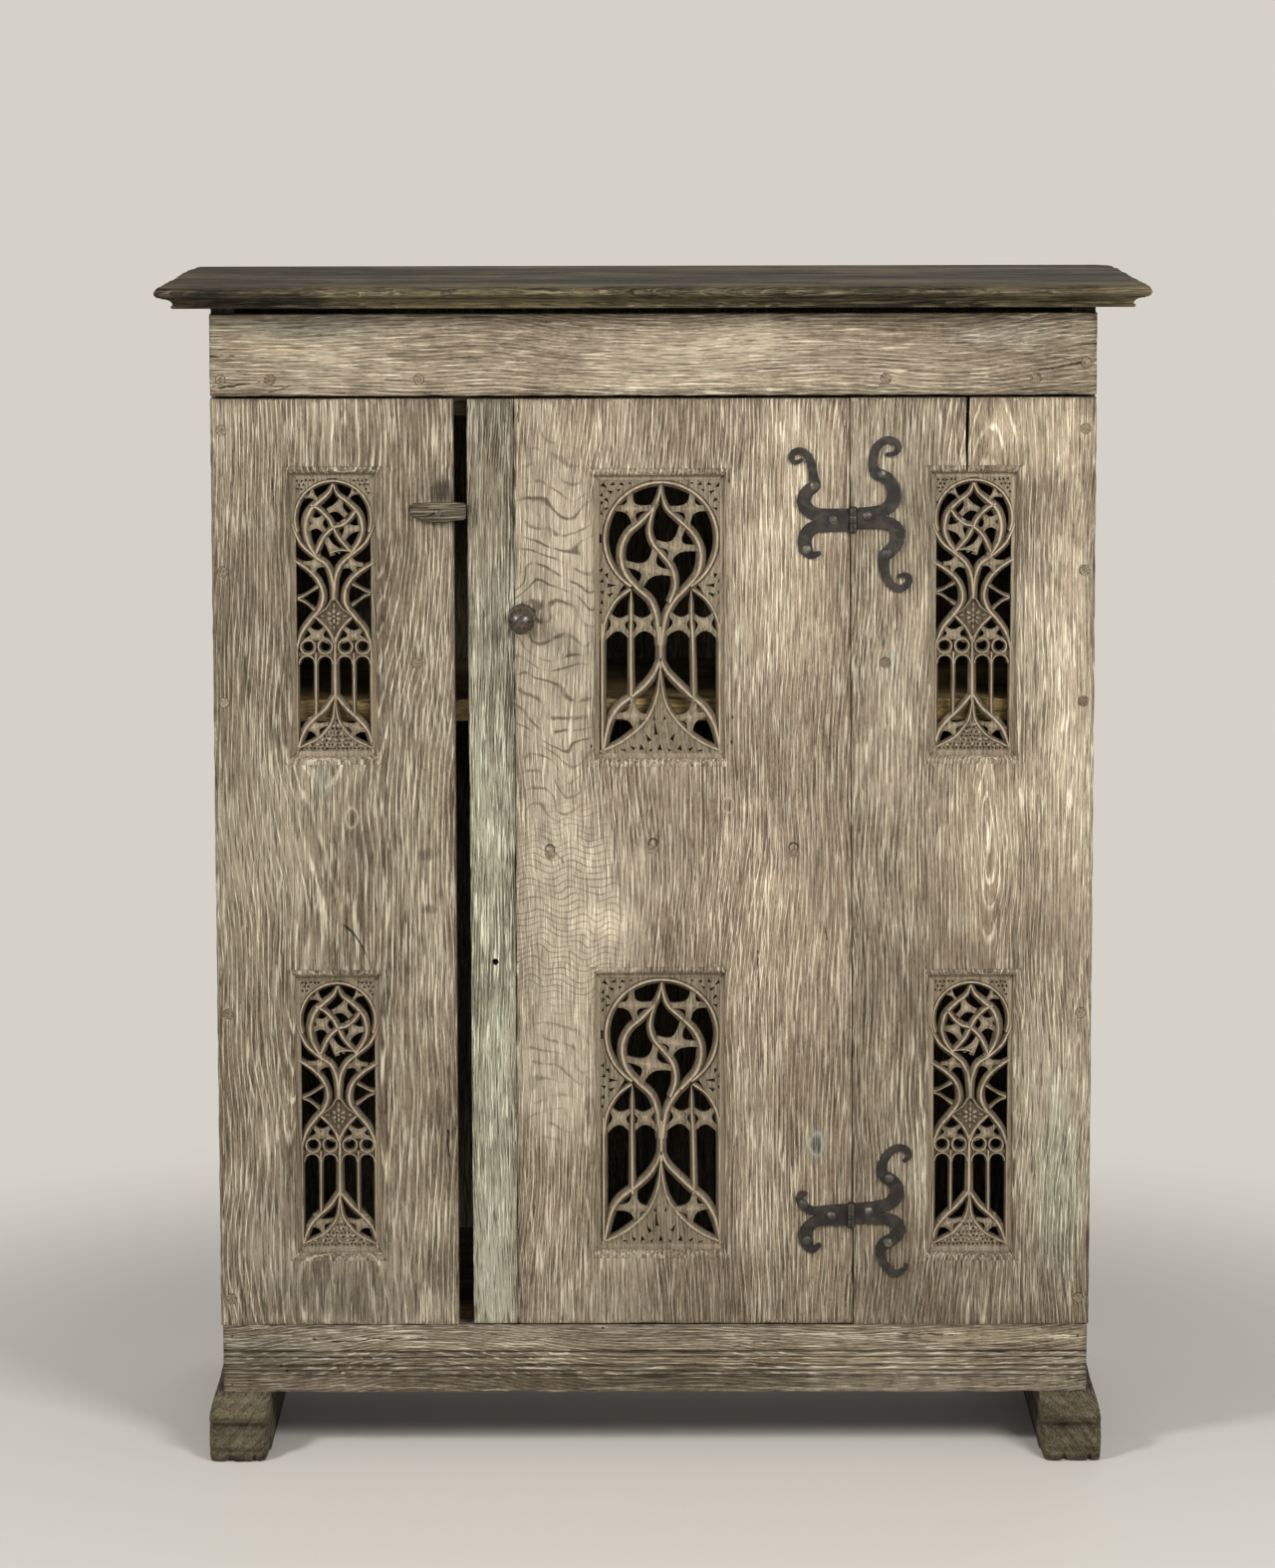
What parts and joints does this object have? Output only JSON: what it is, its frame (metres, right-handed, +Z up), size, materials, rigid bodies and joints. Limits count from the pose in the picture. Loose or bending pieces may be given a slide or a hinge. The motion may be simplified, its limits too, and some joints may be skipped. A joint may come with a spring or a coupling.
{
  "type": "sacristy cupboard",
  "caption": "Boarded oak cupboard with pierced Gothic tracery panels, a planked door on scrolled iron hinges, a turned knob and a wooden turn button",
  "frame": {"origin": "on the floor, at the middle of the whole cupboard's width and depth", "axes": "+Z up, the front with its door faces -Y, +X to the right of someone facing the front"},
  "size_m": [1.1698, 0.514, 1.412],
  "materials": {
    "limed_oak": "weathered oak with pale lime in the grain",
    "door_oak": "weathered oak with pale lime in the grain",
    "side_oak": "weathered oak, duller",
    "carved_oak": "carved oak, smoother and warmer",
    "dark_oak": "dark stained oak, worn on its edges",
    "foot_oak": "dark olive brown oak, battered",
    "inner_oak": "plain sawn oak, unlimed",
    "oak_peg": "end grain of oak pegs",
    "forged_iron": "black forged iron, satin",
    "turned_knob": "dark polished turned wood"
  },
  "bodies": {
    "case": {"top_board": "dark_oak", "top_rail": "limed_oak", "bottom_rail": "limed_oak", "left_front_board": "limed_oak", "right_front_board": "limed_oak", "left_side_front_plank": "side_oak", "left_side_rear_plank": "side_oak", "right_side_front_plank": "side_oak", "right_side_rear_plank": "side_oak", "back_plank_1": "side_oak", "back_plank_2": "side_oak", "back_plank_3": "side_oak", "back_plank_4": "side_oak", "top_tie_batten": "inner_oak", "bottom_board": "inner_oak", "shelf": "inner_oak", "left_shelf_cleat": "inner_oak", "right_shelf_cleat": "inner_oak", "left_bottom_cleat": "inner_oak", "right_bottom_cleat": "inner_oak", "left_foot": "foot_oak", "right_foot": "foot_oak", "left_upper_tracery": "carved_oak", "left_lower_tracery": "carved_oak", "right_upper_tracery": "carved_oak", "right_lower_tracery": "carved_oak", "case_tracery_fillets": "inner_oak", "front_pegs": "oak_peg", "rail_nails": "forged_iron", "top_pegs": "dark_oak", "back_nails": "forged_iron", "upper_hinge_board_leaf": "forged_iron", "lower_hinge_board_leaf": "forged_iron", "upper_hinge_pin": "forged_iron", "lower_hinge_pin": "forged_iron", "board_hinge_nails": "forged_iron", "turn_button_nail": "forged_iron"},
    "door": {"door_narrow_plank": "door_oak", "door_wide_plank": "door_oak", "door_top_batten": "inner_oak", "door_middle_batten": "inner_oak", "door_bottom_batten": "inner_oak", "door_upper_tracery": "carved_oak", "door_lower_tracery": "carved_oak", "door_tracery_fillets": "inner_oak", "door_pegs": "oak_peg", "upper_hinge_door_leaf": "forged_iron", "lower_hinge_door_leaf": "forged_iron", "door_hinge_nails": "forged_iron", "knob": "turned_knob", "knob_wedge": "oak_peg"},
    "turn_button": {"turn_button": "limed_oak"}
  },
  "joints": [
    {"name": "door_hinge", "type": "hinge", "parent": "case", "child": "door", "pos_m": [0.237, -0.1983, 0.7], "axis": [0, 0, 1], "range_deg": [0, 165]},
    {"name": "button_turn", "type": "hinge", "parent": "case", "child": "turn_button", "pos_m": [-0.255, -0.1984, 1.142], "axis": [0, -1, 0], "range_deg": [-90, 90]}
  ]
}
